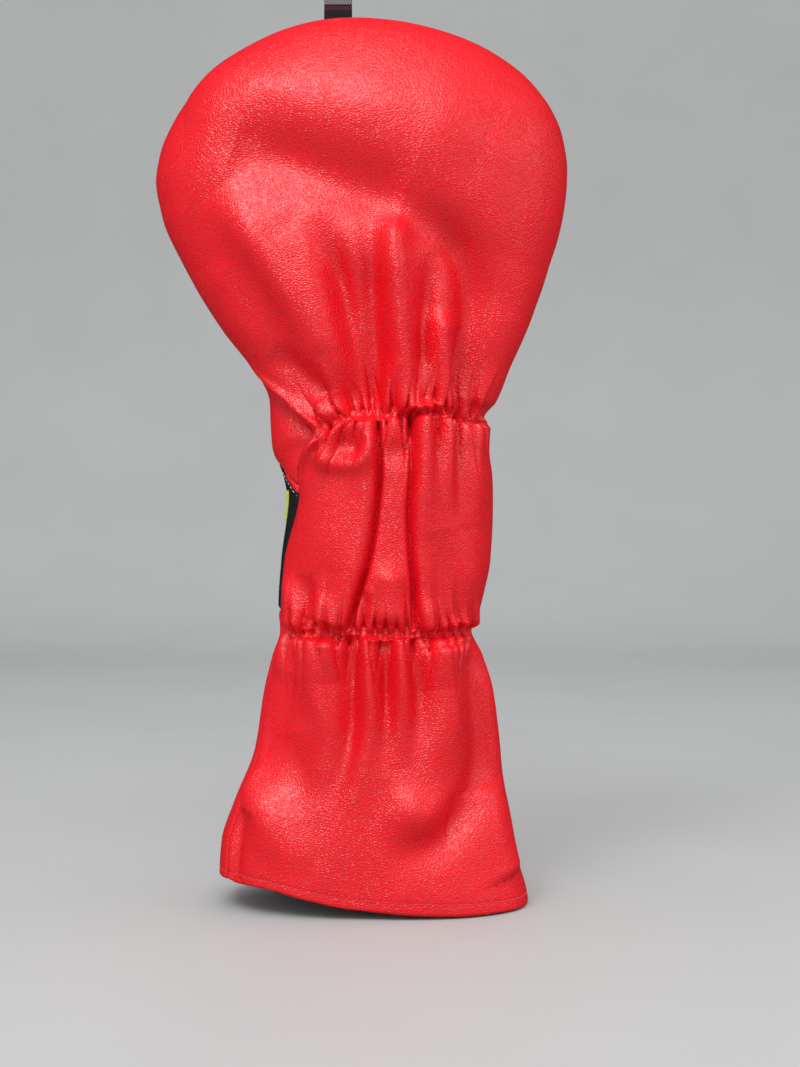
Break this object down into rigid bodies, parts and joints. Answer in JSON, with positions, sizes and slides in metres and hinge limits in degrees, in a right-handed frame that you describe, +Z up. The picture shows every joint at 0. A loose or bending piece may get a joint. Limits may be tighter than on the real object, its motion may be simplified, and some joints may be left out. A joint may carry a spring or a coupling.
{
  "type": "driver head cover",
  "caption": "Leather driver head cover: a padded domed pocket over a gathered elastic neck and a flared open skirt, with a woven tab on the crown.",
  "frame": {"origin": "on the floor, at the middle of the cover's box, with the hem standing on it", "axes": "+Z up along the cover from hem to crown, +X across its width, -Y towards the plain gathered back, +Y towards the decorated front"},
  "size_m": [0.156, 0.076, 0.3595],
  "materials": {
    "red_leather": "pebbled synthetic leather, semi-gloss",
    "black_leather": "smooth black synthetic leather",
    "padding": "soft foam wadding",
    "plush_lining": "short grey plush",
    "elastic": "knitted elastic",
    "tan_thread": "twisted thread",
    "red_thread": "twisted thread",
    "white_thread": "twisted thread",
    "embroidery": "satin-stitch embroidery",
    "woven_tape": "woven tape with a maroon and a silver band"
  },
  "bodies": {
    "skirt": {"skirt_back_leather": "red_leather", "skirt_front_leather": "red_leather", "hem_turn_up": "red_leather", "skirt_lining": "plush_lining", "hem_stitches": "red_thread"},
    "neck": {"neck_back_leather": "red_leather", "throat_front_leather": "red_leather", "neck_front_panel": "black_leather", "neck_lining": "plush_lining", "neck_motif": "embroidery", "throat_stitches_red": "red_thread", "throat_stitches_white": "white_thread", "lower_gather_leather": "red_leather", "lower_flex_leather": "red_leather", "lower_elastic": "elastic", "lower_gather_thread": "tan_thread", "lower_flex_lining": "plush_lining", "upper_gather_leather": "red_leather", "upper_flex_leather": "red_leather", "upper_elastic": "elastic", "upper_gather_thread": "tan_thread", "upper_flex_lining": "plush_lining"},
    "pocket": {"crown_back_leather": "red_leather", "crown_front_leather": "red_leather", "crown_back_padding": "padding", "crown_front_padding": "padding", "crown_lining": "plush_lining", "tab_root": "woven_tape"},
    "tab": {"woven_tab": "woven_tape"}
  },
  "joints": [
    {"name": "skirt_flex", "type": "hinge", "parent": "skirt", "child": "neck", "pos_m": [0.006, 0, 0.1], "axis": [1, 0, 0], "range_deg": [-30, 30], "stiffness_Nm_per_rad": 1.6, "deforming": ["lower_gather_leather", "lower_flex_leather", "lower_elastic", "lower_gather_thread", "lower_flex_lining"]},
    {"name": "neck_flex", "type": "hinge", "parent": "neck", "child": "pocket", "pos_m": [0.006, 0, 0.184], "axis": [1, 0, 0], "range_deg": [-30, 30], "stiffness_Nm_per_rad": 1, "deforming": ["upper_gather_leather", "upper_flex_leather", "upper_elastic", "upper_gather_thread", "upper_flex_lining"]},
    {"name": "tab_swing", "type": "hinge", "parent": "pocket", "child": "tab", "pos_m": [-0.009, 0.002, 0.33655], "axis": [1, 0, 0], "range_deg": [-85, 85], "stiffness_Nm_per_rad": 0.002}
  ]
}
